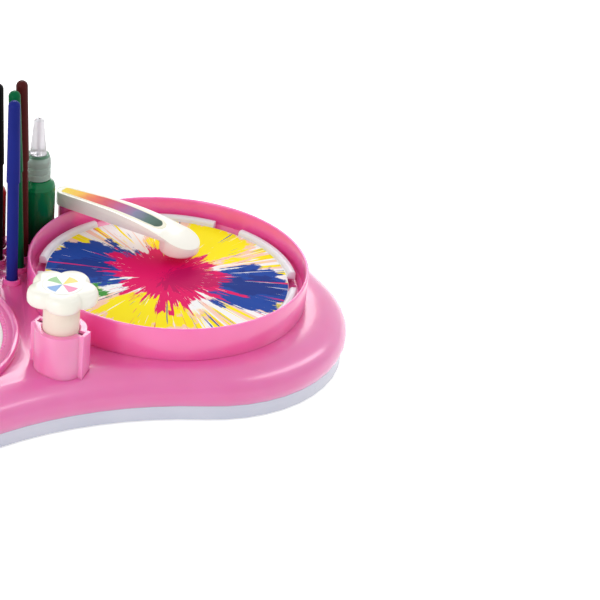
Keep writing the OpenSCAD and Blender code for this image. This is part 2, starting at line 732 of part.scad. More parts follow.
module return_spring() {
    color("#b8bcc4")
    translate([spring_pos[0], spring_pos[1], floor_top]) {
        n = spring_turns * coil_steps;
        wr = spring_wire / 2;
        mr = spring_d / 2 - wr;
        // Closed end turns, open turns between
        pts = [for (i = [0:n]) let (t = i / coil_steps, a = 360 * t,
            s = t < 1 ? 0.9 * t : t > spring_turns - 1 ? spring_h - 2 * wr - 0.9 * (spring_turns - t)
                : 0.9 + (spring_h - 2 * wr - 1.8) * (t - 1) / (spring_turns - 2))
            for (k = [0:coil_sides - 1]) let (b = 360 * k / coil_sides, r = mr + wr * cos(b))
                [r * cos(a), r * sin(a), wr + s + wr * sin(b)]];
        side = [for (i = [0:n - 1]) for (k = [0:coil_sides - 1]) let (l = (k + 1) % coil_sides)
            [i * coil_sides + k, i * coil_sides + l, (i + 1) * coil_sides + l, (i + 1) * coil_sides + k]];
        polyhedron(pts, concat(side, [[for (k = [coil_sides - 1:-1:0]) k]],
            [[for (k = [0:coil_sides - 1]) n * coil_sides + k]]));
    }
}

// ---- gear train ----

frame_a = -9 + tower_x + 1;
frame_b = drive_pos[0] - crown_pinion_r - dedendum * crown_module - 10.56;
frame_t = 3;
frame_back = crown_y + 8;
frame_spots = [[frame_a - 6, crown_y - 2], [frame_a - 6, crown_y + 8]];
shaft_r = axle_d / 2;

module gear_frame() {
    color("#c8ccd4")
    difference() {
        union() {
            // Foot, front upright, back wall and rear upright
            translate([frame_a - 9.5, crown_y - 5, floor_top]) cube([12.5, 16, 2]);
            translate([frame_a, crown_y - 5, floor_top]) cube([frame_t, 16, frame_top - floor_top]);
            translate([frame_a, frame_back, pinion_z + 1])
                cube([frame_b + frame_t - frame_a, 3, frame_top - pinion_z - 1]);
            translate([frame_b, crown_y - 5, pinion_z + 1]) cube([frame_t, 16, frame_top - pinion_z - 1]);
        }
        translate([frame_a - 5, crown_y, crown_z]) rotate([0, 90, 0])
            cylinder(r = shaft_r + play, h = 60, $fn = 48);
        for (p = frame_spots) translate([p[0], p[1], 0]) cylinder(d = 2.4, h = 10, $fn = 32);
    }
}

module frame_screws() {
    color("#8a8f96")
    for (p = frame_spots) translate([p[0], p[1], 0]) {
        translate([0, 0, floor_top + 2]) cylinder(d = 4, h = 1.2, $fn = 32);
        translate([0, 0, floor_z + 0.6]) cylinder(d = 2, h = 4, $fn = 32);
    }
}

rack_pinion_w = 6;
crown_face_x = drive_pos[0] - crown_pinion_r;
crown_back = crown_face_x - dedendum * crown_module;

module rack_pinion() {
    color("#e8e4d8")
    translate([tower_x - rack_pinion_w / 2, crown_y, crown_z]) rotate([0, 90, 0]) difference() {
        union() {
            // Tooth 0 points to -Y, into the rack
            rotate(0) spur(gear_module, rack_pinion_teeth, rack_pinion_w, -90);
            translate([0, 0, -1.8]) cylinder(r = 3, h = 2, $fn = 48);
            cylinder(r = 3, h = frame_b - tower_x + rack_pinion_w / 2 - 0.3, $fn = 48);
        }
        translate([0, 0, -5]) cylinder(r = shaft_r, h = 50, $fn = 48);
    }
}

module crown_shaft() {
    color("#a8acb4")
    translate([frame_a - 1, crown_y, crown_z]) rotate([0, 90, 0])
        cylinder(r = shaft_r, h = crown_back - 0.3 - frame_a + 1, $fn = 48);
}

module crown_gear() {
    color("#e8e4d8")
    translate([0, crown_y, crown_z]) {
        hub_x = frame_b + frame_t + 0.3;
        difference() {
            union() {
                translate([hub_x, 0, 0]) rotate([0, 90, 0]) cylinder(r = 4, h = crown_back - hub_x, $fn = 48);
                translate([crown_back - 2.2, 0, 0]) rotate([0, 90, 0]) cylinder(r = crown_out, h = 2.2);
                for (i = [0:crown_teeth - 1]) rotate([360 * i / crown_teeth, 0, 0]) crown_tooth();
            }
            translate([hub_x - 1, 0, 0]) rotate([0, 90, 0])
                cylinder(r = shaft_r, h = crown_back - 0.3 - hub_x + 1, $fn = 48);
        }
    }
}

crown_half = crown_module / 2;
// One tooth of the crown gear, pointing down, with sloped flanks towards the pinion
module crown_tooth() {
    lo = -dedendum * crown_module - 0.2;
    hi = addendum * crown_module;
    translate([crown_face_x, 0, -crown_out]) linear_extrude(crown_face) polygon([
        [lo, -crown_half + lo * tan(crown_slope)], [hi, -crown_half + hi * tan(crown_slope)],
        [hi, crown_half - hi * tan(crown_slope)], [lo, crown_half - lo * tan(crown_slope)]]);
}
crown_slope = 22;

module headed_pin(p, head_z) {
    translate([p[0], p[1], floor_z + 0.6]) cylinder(r = shaft_r, h = head_z - floor_z - 0.6, $fn = 48);
    translate([p[0], p[1], head_z]) cylinder(r = shaft_r + 0.7, h = 1.2, $fn = 48);
}

// Tall enough to reach past the lowest teeth of the crown gear
crown_pinion_h = crown_z - crown_out + crown_face + 0.4 - pinion_z;
drive_top = pinion_z + crown_pinion_h;

module drive_axle() {
    color("#a8acb4")
    headed_pin(drive_pos, drive_top + 0.2);
}

module drive_gear() {
    color("#f0d060")
    translate([drive_pos[0], drive_pos[1], wheel_z]) difference() {
        union() {
            difference() {
                spur(gear_module, drive_teeth, wheel_t, drive_a);
                for (i = [0:4]) rotate(72 * i) translate([0.58 * drive_r, 0, -eps])
                    cylinder(r = 0.2 * drive_r, h = wheel_t + 2 * eps, $fn = 48);
            }
            translate([0, 0, wheel_t - eps])
                spur(crown_module, crown_pinion_teeth, crown_pinion_h + eps, crown_pinion_a);
        }
        translate([0, 0, -eps]) cylinder(r = shaft_r + play, h = 20, $fn = 48);
    }
}

module idler_axle() {
    color("#a8acb4")
    headed_pin(idler_pos, pinion_z + 2.7);
}

module idler_gear() {
    color("#80c8e0")
    translate([idler_pos[0], idler_pos[1], wheel_z]) difference() {
        union() {
            difference() {
                spur(gear_module, idler_teeth, wheel_t, idler_a);
                for (i = [0:5]) rotate(60 * i) translate([0.5625 * idler_r, 0, -eps])
                    cylinder(r = 0.203125 * idler_r, h = wheel_t + 2 * eps, $fn = 48);
            }
            cylinder(r = 5, h = wheel_t + 2.5, $fn = 48);
        }
        translate([0, 0, -eps]) cylinder(r = shaft_r + play, h = 20, $fn = 48);
    }
}

module spindle_gear() {
    color("#f0d060")
    translate([spindle_pos[0], spindle_pos[1], wheel_z]) difference() {
        union() {
            spur(gear_module, spindle_teeth, 4.2, spindle_a);
            cylinder(r = 5, h = 9, $fn = 48);
        }
        translate([0, 0, -eps]) cylinder(r = spindle_d / 2, h = 20, $fn = 48);
    }
}

module spindle() {
    color("#a8acb4")
    translate([spindle_pos[0], spindle_pos[1], floor_z + 0.65])
        cylinder(r = spindle_d / 2, h = platter_z + platter_t - 0.1 - floor_z - 0.65, $fn = 48);
}

module spindle_bush() {
    color("#c8a850")
    translate([bowl_pos[0], bowl_pos[1], 0]) difference() {
        union() {
            translate([0, 0, bowl_floor - 6]) cylinder(d = bush_d, h = 6 + bowl_floor_t, $fn = 48);
            translate([0, 0, bowl_floor + bowl_floor_t]) cylinder(d = bush_d + 4, h = 0.6, $fn = 48);
        }
        cylinder(r = spindle_d / 2 + play, h = 60, $fn = 48);
    }
}

platter_z = bowl_floor + bowl_floor_t + 3.3;

module platter() {
    color("#e8e4ec")
    translate([bowl_pos[0], bowl_pos[1], 0]) difference() {
        rotate_extrude() polygon([[0, platter_z - 2.4], [9, platter_z - 2.4], [9, platter_z],
            [platter_r - 0.6, platter_z], [platter_r, platter_z + 0.8], [platter_r, clip_z - 1],
            [platter_r - 0.8, clip_z], [card_seat_r + 1.6, clip_z], [card_seat_r + 0.3, clip_z - 1.4],
            [card_seat_r, platter_z + platter_t], [0, platter_z + platter_t]]);
        for (i = [0:clip_count - 1]) rotate(clip_phase + 360 * i / clip_count) difference() {
            translate([0, 0, platter_z - 1]) linear_extrude(10) polygon([
                polar(card_seat_r - 4, -clip_gap / 2), polar(platter_r + 12, -clip_gap / 2),
                polar(platter_r + 12, clip_gap / 2), polar(card_seat_r - 4, clip_gap / 2)]);
            translate([0, 0, platter_z - 2]) cylinder(r = card_seat_r - 0.4, h = 12);
        }
        translate([0, 0, platter_z - 5]) cylinder(r = spindle_d / 2, h = 5 + platter_t - 0.1, $fn = 48);
    }
}
clip_z = platter_z + platter_t + clip_h;

module paper_card() {
    color("white")
    translate([bowl_pos[0], bowl_pos[1], platter_z + platter_t]) cylinder(r = card_r, h = card_t);
}

// ---- swing arm ----

module arm_post() {
    color("#f082ae")
    translate([post_pos[0], post_pos[1], 0]) {
        rotate_extrude() polygon([[0, deck_z - 5], [post_r - 1.5, deck_z - 5], [post_r - 1.5, deck_z],
            [post_r, deck_z], [post_r, arm_z - 0.6], [post_r - 0.6, arm_z], [pivot_r, arm_z],
            [pivot_r, arm_z + pivot_h - 0.6], [pivot_r - 0.6, arm_z + pivot_h], [0, arm_z + pivot_h]]);
    }
}

// Height of the pin inside the arm
pivot_h = arm_t - 2.6;

// Outline of the bar round two circles of different size, moved inwards by g
bar_r = head_r - 0.5;
function arm_outline(g) = let (d = acos((arm_end_r - bar_r) / arm_l), n = 14)
    concat([for (i = [0:n]) polar(arm_end_r - g, d + (360 - 2 * d) * i / n)],
        [for (i = [0:n]) [arm_l, 0] + polar(bar_r - g, -d + 2 * d * i / n)]);
arm_rings = [[1, 0], [0.3, 0.3], [0, 1], [0, arm_t + 1]];
// Height of the arm's top at distance x from the post: level at first, then falling like an elbow
arm_knee = arm_l + 8.5;
function arm_rise(x) = arm_t - (x > arm_flat ?
    arm_fall * pow((x - arm_flat) / (arm_knee - arm_flat), 2.2) : 0);
arm_cuts = 30;
arm_cut_x = [for (i = [0:arm_cuts]) -arm_end_r - 3 + (arm_l + head_r + arm_end_r + 6) * i / arm_cuts];

// Everything between two heights measured from the arm's curved top
module arm_band(low, high) {
    rotate([90, 0, 0]) linear_extrude(4 * head_r, center = true) polygon(concat(
        [for (x = arm_cut_x) [x, arm_rise(x) + low]],
        [for (x = reversed(arm_cut_x)) [x, arm_rise(x) + high]]));
}

// Closed solid through rings that all have the same number of points
module loft(rings) {
    n = len(rings[0]);
    m = len(rings);
    walls = [for (k = [0:m - 2]) for (i = [0:n - 1]) let (j = (i + 1) % n)
        [k * n + i, (k + 1) * n + i, (k + 1) * n + j, k * n + j]];
    polyhedron(flat_list(rings), concat(walls, [[for (i = [0:n - 1]) i]],
        [[for (i = [n - 1:-1:0]) (m - 1) * n + i]]));
}

module on_arm() {
    translate([post_pos[0], post_pos[1], arm_z]) rotate(arm_angle) children();
}

module swing_arm() {
    color("#fafaf0")
    on_arm() difference() {
        union() {
            loft([for (r = arm_rings) [for (p = arm_outline(r[0])) [p[0], p[1], r[1]]]]);
            translate([arm_l, 0, 0]) rotate_extrude() polygon([[0, arm_t], [head_r, arm_t],
                [head_r, 2.4 - head_drop], [head_r - 0.5, 1 - head_drop], [head_r - 1.7, -head_drop],
                [0, -head_drop]]);
        }
        arm_band(0, 30);
        translate([0, 0, -1]) cylinder(r = pivot_r + play, h = pivot_h + 1.2, $fn = 48);
        translate([arm_l, 0, -head_drop - 1]) cylinder(r = head_r - 4, h = 5);
        intersection() {
            translate([0, 0, -20]) linear_extrude(60) label_plan(0.2);
            arm_band(-0.3, 5);
        }
    }
}

label_l = arm_l - 18;
// The label is widest before its far end, like a leaf
module label_plan(g) {
    hull() {
        translate([2, 0]) circle(r = 5 + g, $fn = 48);
        translate([label_l * 0.72, 0]) circle(r = 8.4 + g, $fn = 64);
        translate([label_l, 0]) circle(r = 6.2 + g, $fn = 48);
    }
}

module arm_label() {
    color("#f0a040")
    on_arm() intersection() {
        translate([0, 0, -20]) linear_extrude(60) label_plan(0);
        arm_band(-0.3, 0.05);
    }
}

// ---- pens ----

pen_neck_r = pen_r - 0.7;
cap_foot = pen_l - cap_l;
cap_r = pen_r + cap_over / 2;
cap_mouth_r = cap_r + 0.3;

module at_pen(i) {
    // The low side of the leaning foot stands on the socket's floor
    translate([pens[i][0] + 0.1 * pen_tilt[i], pens[i][1], pen_z + (pen_r - 0.8) * sin(pen_tilt[i]) + 0.02])
        rotate([0, -pen_tilt[i], 0]) children();
}

module pen(i) {
    at_pen(i) rotate_extrude($fn = 48) polygon([[0, 0], [pen_r - 0.8, 0], [pen_r - 0.2, 0.3], [pen_r, 1],
        [pen_r, cap_foot], [pen_neck_r, cap_foot], [pen_neck_r, cap_foot + 12],
        [pen_neck_r - 1.4, cap_foot + 17], [1.2, cap_foot + 19], [1, cap_foot + 24], [0, cap_foot + 24]]);
}

module cap(i) {
    at_pen(i) {
        difference() {
            rotate_extrude($fn = 48) polygon([[0, cap_foot], [cap_mouth_r, cap_foot],
                [cap_r, cap_foot + cap_l * 0.45], [cap_r - 0.3, pen_l - 3.2], [cap_r - 0.8, pen_l - 1.8],
                [cap_r - 1.9, pen_l - 0.6], [cap_r - 3, pen_l], [0, pen_l]]);
            translate([0, 0, cap_foot - 1]) cylinder(r = pen_neck_r + 0.05, h = 27, $fn = 48);
        }
        // Clip on the back of the cap
        translate([-1.1, cap_r - 0.8, pen_l - 34]) cube([2.2, 2.2, 30]);
    }
}

// ---- bottles ----

collar_r = 9.25;
collar_z = bottle_h + 6.5;
neck_r = 7;

module at_bottle(i) {
    translate([bottles[i][0], bottles[i][1], bottle_z]) children();
}

module bottle(i) {
    at_bottle(i) difference() {
        rotate_extrude($fn = 64) polygon([[0, 0], [bottle_r - 1.2, 0], [bottle_r, 1.2], [bottle_r, bottle_h],
            [bottle_r - 0.9, bottle_h + 2.4], [bottle_r - 2.8, bottle_h + 4.2], [collar_r, bottle_h + 5.6],
            [neck_r, bottle_h + 6], [neck_r, bottle_h + 17], [0, bottle_h + 17]]);
        translate([0, 0, 1.2]) cylinder(r = bottle_r - 1.4, h = bottle_h - 2, $fn = 64);
        translate([0, 0, bottle_h - 2]) cylinder(r = neck_r - 1.6, h = 30, $fn = 48);
    }
}

module collar(i) {
    at_bottle(i) difference() {
        rotate_extrude($fn = 64) polygon([[neck_r - 2, collar_z], [collar_r, collar_z],
            [collar_r, collar_z + 4], [collar_r - 0.5, collar_z + 4.4],
            [collar_r - 0.5, collar_z + 5.2], [collar_r, collar_z + 5.6],
            [collar_r, collar_z + 9], [collar_r - 0.5, collar_z + 9.4], [collar_r - 0.5, collar_z + 10.2],
            [collar_r, collar_z + 10.6], [collar_r - 0.2, collar_z + 14], [collar_r - 1.6, collar_z + 18],
            [neck_r - 2, collar_z + 18]]);
        translate([0, 0, collar_z - 1]) cylinder(r = neck_r + 0.05, h = bottle_h + 18 - collar_z, $fn = 48);
        translate([0, 0, collar_z - 1]) cylinder(r = 3.5, h = 30, $fn = 48);
    }
}

nozzle_z = collar_z + 18;

module nozzle(i) {
    at_bottle(i) difference() {
        rotate_extrude($fn = 48) polygon([[0, nozzle_z], [6.1, nozzle_z], [5.6, nozzle_z + 3],
            [4.2, bottle_all - 9], [3.4, bottle_all - 1.5], [2.4, bottle_all - 0.2],
            [1.2, bottle_all], [0, bottle_all]]);
        translate([0, 0, nozzle_z - 1]) cylinder(r = 1, h = 60, $fn = 24);
    }
}

module pen_brown() { color("#5a1e1e") pen(0); }
module pen_green() { color("#0a6440") pen(1); }
module pen_blue() { color("#1e3288") pen(2); }
module pen_black() { color("#141414") pen(3); }
module pen_red() { color("#c01828") pen(4); }
module pen_yellow() { color("#f0d020") pen(5); }
module cap_brown() { color("#5a1e1e") cap(0); }
module cap_green() { color("#0a6440") cap(1); }
module cap_blue() { color("#1e3288") cap(2); }
module cap_black() { color("#141414") cap(3); }
module cap_red() { color("#c01828") cap(4); }
module cap_yellow() { color("#f0d020") cap(5); }
module bottle_green() { color("#0a5a32") bottle(0); }
module bottle_red() { color("#b01c28") bottle(1); }
module bottle_blue() { color("#1e3c96") bottle(2); }
module collar_green() { color("#c8dcd4") collar(0); }
module collar_red() { color("#e0c8c8") collar(1); }
module collar_blue() { color("#c8ccdc") collar(2); }
module nozzle_green() { color("#eeeef4") nozzle(0); }
module nozzle_red() { color("#eeeef4") nozzle(1); }
module nozzle_blue() { color("#eeeef4") nozzle(2); }

base_tray();
feet();
storage_lid();
deck();
casing_screws();
splash_bowl();
spindle_bush();
drawing_ring();
drawing_paper();
holder();
button_tower();
button_stem();
knob();
knob_sticker();
return_spring();
gear_frame();
frame_screws();
rack_pinion();
crown_shaft();
crown_gear();
drive_axle();
drive_gear();
idler_axle();
idler_gear();
spindle();
spindle_gear();
platter();
paper_card();
arm_post();
swing_arm();
arm_label();
pen_brown();
pen_green();
pen_blue();
pen_black();
pen_red();
pen_yellow();
cap_brown();
cap_green();
cap_blue();
cap_black();
cap_red();
cap_yellow();
bottle_green();
bottle_red();
bottle_blue();
collar_green();
collar_red();
collar_blue();
nozzle_green();
nozzle_red();
nozzle_blue();
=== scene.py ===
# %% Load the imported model
import json
import math
import bmesh
import bpy
from mathutils import Matrix, Vector


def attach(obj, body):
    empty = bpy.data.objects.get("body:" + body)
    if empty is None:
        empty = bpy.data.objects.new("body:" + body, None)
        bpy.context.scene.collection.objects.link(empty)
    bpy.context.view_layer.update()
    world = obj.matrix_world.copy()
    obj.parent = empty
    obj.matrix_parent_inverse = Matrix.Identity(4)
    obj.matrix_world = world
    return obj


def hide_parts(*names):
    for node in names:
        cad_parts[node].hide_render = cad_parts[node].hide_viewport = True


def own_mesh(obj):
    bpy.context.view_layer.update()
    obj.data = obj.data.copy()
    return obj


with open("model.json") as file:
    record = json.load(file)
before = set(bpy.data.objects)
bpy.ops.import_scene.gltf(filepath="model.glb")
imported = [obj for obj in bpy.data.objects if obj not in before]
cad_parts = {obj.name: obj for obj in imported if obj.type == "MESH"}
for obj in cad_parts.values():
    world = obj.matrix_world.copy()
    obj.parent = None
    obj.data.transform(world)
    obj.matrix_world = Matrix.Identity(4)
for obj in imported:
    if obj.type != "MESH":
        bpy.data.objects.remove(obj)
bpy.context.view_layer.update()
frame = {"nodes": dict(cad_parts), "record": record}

# %% [markdown]
# # A press-to-spin art machine
# The real thing is a table toy in glossy pink plastic. Two round stations stand side by side on
# one peanut-shaped body: a deep splash bowl with a spinning card, and a toothed ring with a sheet
# of drawing paper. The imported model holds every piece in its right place. This lesson gives the
# pieces their soft moulded edges and their finishes, and sets the light and the camera.

# %% [markdown]
# ## The camera
# The camera stands to the left of the middle and looks down by 29 degrees with a long lens. Its
# frame holds only the right part of the machine, and the middle of the lens lies outside it. So
# the frame is shifted sideways instead of turned, which keeps the upright pens in line.

# %% Camera
scene = bpy.context.scene
view = bpy.data.cameras.new("camera")
view.sensor_fit = "HORIZONTAL"
view.sensor_width = 36
view.lens = 100.65
view.shift_x = 0.600
view.shift_y = -0.0311
view.clip_end = 20
camera = bpy.data.objects.new("camera", view)
camera.location = (-0.3396, -0.9037, 0.5961)
camera.rotation_euler = (math.radians(60.74), 0, math.radians(-17.31))
scene.collection.objects.link(camera)
scene.camera = camera
scene.view_settings.view_transform = "Standard"
print("lens", view.lens)

# %% [markdown]
# ## Shader arithmetic
# A pattern is easier to read as a formula than as a web of nodes. A Wire wraps one socket, and
# each Python operator on it adds one Math node. Every other node comes from Graph.node.

# %% Wires and finishes
class Wire:
    """One output socket that can be used in Python arithmetic."""

    def __init__(self, tree, socket):
        self.tree, self.socket = tree, socket

    def math(self, operation, *values):
        node = self.tree.nodes.new("ShaderNodeMath")
        node.operation = operation
        for slot, value in zip(node.inputs, values):
            plug(self.tree, slot, value)
        return Wire(self.tree, node.outputs[0])

    def __add__(self, other):
        return self.math("ADD", self, other)

    def __radd__(self, other):
        return self.math("ADD", other, self)

    def __sub__(self, other):
        return self.math("SUBTRACT", self, other)

    def __rsub__(self, other):
        return self.math("SUBTRACT", other, self)

    def __mul__(self, other):
        return self.math("MULTIPLY", self, other)

    def __rmul__(self, other):
        return self.math("MULTIPLY", other, self)

    def __truediv__(self, other):
        return self.math("DIVIDE", self, other)

    def __rtruediv__(self, other):
        return self.math("DIVIDE", other, self)

    def __pow__(self, other):
        return self.math("POWER", self, other)

    def __abs__(self):
        return self.math("ABSOLUTE", self)


def plug(tree, slot, value):
    """Sets a socket to a value, or links a wire to it."""
    if isinstance(value, Wire):
        tree.links.new(value.socket, slot)
    else:
        slot.default_value = value


class Graph:
    """Helpers that add nodes to one tree and hand back wires."""

    def __init__(self, tree):
        self.tree = tree

    def node(self, kind, settings=None, inputs=None, output=0):
        """Adds any node: its settings first, then its sockets; returns one output."""
        node = self.tree.nodes.new("ShaderNode" + kind)
        for key, value in (settings or {}).items():
            if key == "stops":
                while len(node.color_ramp.elements) < len(value):
                    node.color_ramp.elements.new(0.5)
                for element, (place, colour) in zip(node.color_ramp.elements, value):
                    element.position, element.color = place, colour
            elif key == "interpolation" and kind == "ValToRGB":
                node.color_ramp.interpolation = value
            else:
                setattr(node, key, value)
        for key, value in (inputs or {}).items():
            plug(self.tree, node.inputs[key], value)
        return Wire(self.tree, node.outputs[output])

    def place(self, centre=(0, 0, 0), turn=0):
        """Object coordinates moved to a centre and turned about the upright axis."""
        spot = self.node("TexCoord", output="Object")
        return self.node("Mapping", {"vector_type": "TEXTURE"},
                         {"Vector": spot, "Location": centre, "Rotation": (0, 0, turn)})

    def split(self, vector):
        first = self.node("SeparateXYZ", None, {0: vector})
        return [Wire(self.tree, output) for output in first.socket.node.outputs]

    def join(self, x, y, z):
        return self.node("CombineXYZ", None, {"X": x, "Y": y, "Z": z})

    def noise(self, vector, scale, detail=2.0, roughness=0.5):
        return self.node("TexNoise", None, {"Vector": vector, "Scale": scale, "Detail": detail,
                                            "Roughness": roughness})

    def blend(self, factor, first, second):
        """Mixes two colours."""
        return self.node("Mix", {"data_type": "RGBA"}, {0: factor, 6: first, 7: second}, output=2)

    def step(self, value, low, high):
        """Rises smoothly from 0 at low to 1 at high."""
        return self.node("MapRange", {"interpolation_type": "SMOOTHSTEP"},
                         {"Value": value, "From Min": low, "From Max": high})

    def shown(self):
        """1 for rays that show things, straight, by gloss or through a clear piece, and 0 for others."""
        camera_ray, glossy_ray, clear_ray = [
            self.node("LightPath", output=ray)
            for ray in ("Is Camera Ray", "Is Glossy Ray", "Is Transmission Ray")]
        return camera_ray.math("MAXIMUM", camera_ray.math("MAXIMUM", camera_ray, glossy_ray), clear_ray)


class Finish(Graph):
    """A material that is built from wires around one Principled shader."""

    def __init__(self, name, **constants):
        self.material = bpy.data.materials.new(name)
        self.material.use_nodes = True
        super().__init__(self.material.node_tree)
        self.shader = next(n for n in self.tree.nodes if n.type == "BSDF_PRINCIPLED")
        for key, value in constants.items():
            self.set(key.replace("_", " ").title().replace("Ior", "IOR"), value)

    def set(self, socket, value):
        plug(self.tree, self.shader.inputs[socket], value)

    def bump(self, height, strength, distance):
        self.set("Normal", self.node("Bump", None, {"Strength": strength, "Distance": distance,
                                                     "Height": height}))


def colour(red, green, blue):
    """A screen colour, 0 to 255, as the shader's own linear numbers."""
    def linear(v):
        v /= 255
        return v / 12.92 if v <= 0.04045 else ((v + 0.055) / 1.055) ** 2.4
    return (linear(red), linear(green), linear(blue), 1.0)


def deeper(tint, share):
    """The same hue with only a share of its light."""
    return tuple(share * v for v in tint[:3]) + (1,)


print("pink as linear numbers", [round(v, 3) for v in colour(240, 130, 174)])

# %% [markdown]
# ## Moulded plastic
# Injection-moulded plastic is never one flat colour. The polished mould leaves a faint waviness,
# the gloss changes a little from place to place, and the colour is a shade deeper in patches.
# Light goes into the pink body and comes out redder, so its shadows stay warm. One helper makes
# all the plastics from their colour and their gloss.

# %% Plastics
red_travels_far = (1.0, 0.12, 0.5)
light_depth = 0.012


def plastic(name, main, deep=None, gloss=0.28, coat=0.25, grain=0.0004, scatter=0.0, shine=0.5, haze=0.08):
    look = Finish(name, coat_roughness=haze, specular_ior_level=shine)
    spot = look.place()
    drift = look.noise(spot, 22, 2)
    fine = look.noise(spot, 900, 2)
    look.set("Base Color", look.blend(look.step(drift, 0.35, 0.7), main, deep or deeper(main, 0.9)))
    look.set("Roughness", gloss + 0.10 * (look.noise(spot, 60, 3) - 0.5) + 0.05 * (fine - 0.5))
    look.set("Coat Weight", coat)
    look.bump(look.noise(spot, 140, 1) + 0.25 * fine, 0.12, grain)
    if scatter:
        look.set("Subsurface Weight", scatter)
        look.set("Subsurface Radius", red_travels_far)
        look.set("Subsurface Scale", light_depth)
    return look.material


pink = plastic("pink_plastic", colour(251, 100, 174), colour(247, 89, 166), gloss=0.38, coat=1.0, scatter=0.5,
               shine=1.0, haze=0.18)
# Painted light: the drawing ring is the same pink plastic, painted paler for the light on its rim
painted_light_ring_pink = plastic("ring_pink_plastic", colour(249, 112, 180), colour(245, 100, 172), gloss=0.34, coat=1.0,
                    scatter=0.5, shine=1.0, haze=0.18)
# Painted light: the tower is the same pink plastic, painted paler for the light that falls on its side
painted_light_tower_pink = plastic("tower_pink_plastic", colour(249, 134, 188), colour(245, 122, 180), gloss=0.38, coat=0.9,
                     scatter=0.4, shine=1.0, haze=0.18)
cream = plastic("cream_plastic", colour(253, 251, 240), colour(250, 247, 232), gloss=0.3, coat=0.3)
pale = plastic("pale_base_plastic", colour(216, 220, 233), colour(208, 213, 228), gloss=0.3, coat=0.2)
white = plastic("white_plastic", colour(240, 240, 244), colour(232, 232, 238), gloss=0.34, coat=0.1)
rubber = plastic("foot_rubber", colour(120, 122, 126), gloss=0.75, coat=0.0)
acetal = plastic("natural_acetal", colour(236, 228, 204), gloss=0.42, coat=0.0)
blue_acetal = plastic("blue_acetal", colour(104, 168, 206), gloss=0.42, coat=0.0)
print("plastics made")

# %% [markdown]
# ## Metals
# Turned steel shows fine rings round its axis. Most of these pieces stand upright, so the noise
# is squeezed along the upright axis. The brass bush has the same rings in a warmer colour.

# %% Metals
def metal(name, tint, gloss):
    look = Finish(name, metallic=1.0)
    spot = look.place()
    brushed = look.noise(look.node("Mapping", None, {"Vector": spot, "Scale": (1, 1, 12)}), 400, 3)
    look.set("Base Color", look.blend(look.step(brushed, 0.3, 0.7), tint, deeper(tint, 0.8)))
    look.set("Roughness", gloss + 0.15 * brushed)
    return look.material


steel = metal("turned_steel", colour(196, 198, 204), 0.2)
brass = metal("turned_brass", colour(212, 176, 104), 0.22)
print("metals made")

# %% [markdown]
# ## Paper
# Paper is nearly white. Its fibres show as a faint mottle and scatter the light, so it has hardly
# any gloss.

# %% Paper
def paper(name):
    look = Finish(name, specular_ior_level=0.3)
    spot = look.place()
    fibre = look.noise(spot, 2500, 3)
    look.set("Base Color", look.blend(fibre, colour(252, 252, 250), colour(244, 244, 243)))
    look.set("Roughness", 0.75 + 0.1 * fibre)
    look.bump(fibre, 0.15, 0.0002)
    return look.material


drawing_sheet = paper("drawing_sheet")

# %% [markdown]
# ## The splash card
# Paint that drops on a spinning card runs straight out from the middle, so the pattern lives in
# polar coordinates. A noise that is stretched along the radius gives the streaks, and a plain
# noise makes each blot ragged. The layout is made up: a list of blots in four colours, with a
# rose splash in the middle and fine threads of paint that reach the rim.

